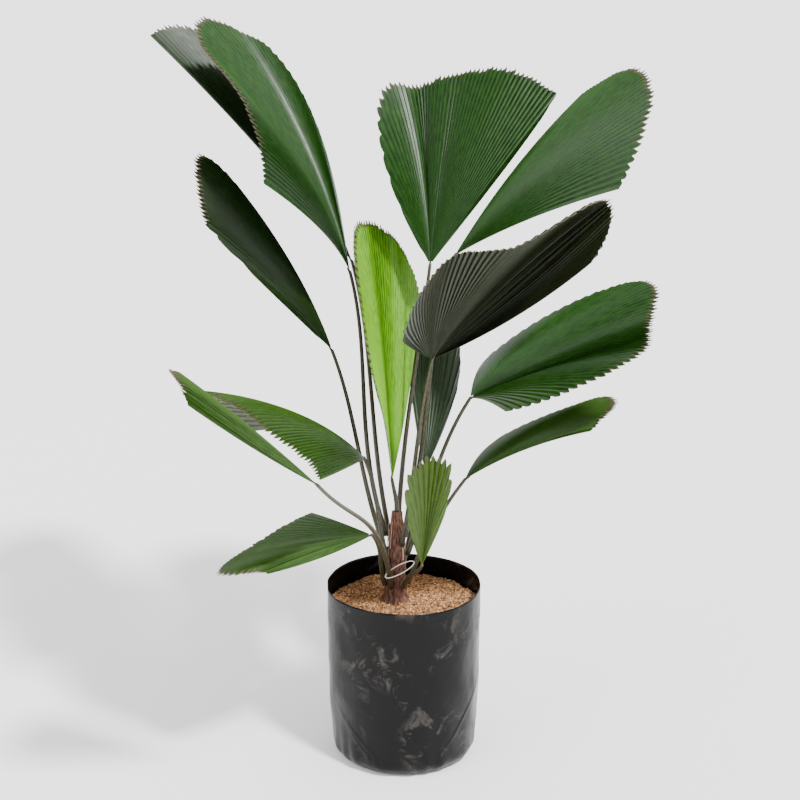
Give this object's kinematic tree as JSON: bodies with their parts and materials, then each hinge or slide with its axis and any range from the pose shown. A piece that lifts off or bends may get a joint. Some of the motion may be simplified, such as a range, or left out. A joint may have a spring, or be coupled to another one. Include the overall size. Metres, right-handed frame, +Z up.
{
  "type": "potted licuala palm",
  "caption": "A young fan palm with pleated, toothed leaves on thin dark petioles, growing from coir in a black film nursery bag.",
  "frame": {"origin": "centre of the bag's flat underside, on the surface that it stands on", "axes": "+Z up along the plant; +X to the right and +Y away from the viewer of the picture's front view"},
  "size_m": [0.7199, 0.7944, 1.0922],
  "materials": {
    "bag_film": "thin black film, slightly glossy, creased, with dusty grey scuffs",
    "coir": "rough orange-brown chips of coconut fibre with dark gaps",
    "trunk_fibre": "matt red-brown fibrous sheaths with paler papery edges",
    "petiole_skin": "smooth dark olive-brown skin",
    "leaf": "deep green, pleated, semi-gloss above and duller olive below",
    "young_leaf": "bright yellow-green, pleated, semi-gloss"
  },
  "bodies": {
    "root": {"bag": "bag_film", "growing_medium": "coir", "trunk": "trunk_fibre", "petiole_back_left_low": "petiole_skin", "petiole_left_high": "petiole_skin", "petiole_back_centre": "petiole_skin", "petiole_back_right": "petiole_skin", "petiole_young_centre": "petiole_skin", "petiole_front_right": "petiole_skin", "petiole_right": "petiole_skin", "petiole_right_low": "petiole_skin", "petiole_back_low": "petiole_skin", "petiole_front_small": "petiole_skin", "petiole_left": "petiole_skin", "petiole_left_arched": "petiole_skin", "petiole_left_narrow": "petiole_skin", "petiole_left_low": "petiole_skin", "blade_back_left_low": "leaf", "blade_left_high": "leaf", "blade_back_centre": "leaf", "blade_back_right": "leaf", "blade_young_centre": "young_leaf", "blade_front_right": "leaf", "blade_right": "leaf", "blade_right_low": "leaf", "blade_back_low": "leaf", "blade_front_small": "young_leaf", "blade_left": "leaf", "blade_left_arched": "leaf", "blade_left_narrow": "leaf", "blade_left_low": "leaf"}
  },
  "joints": []
}
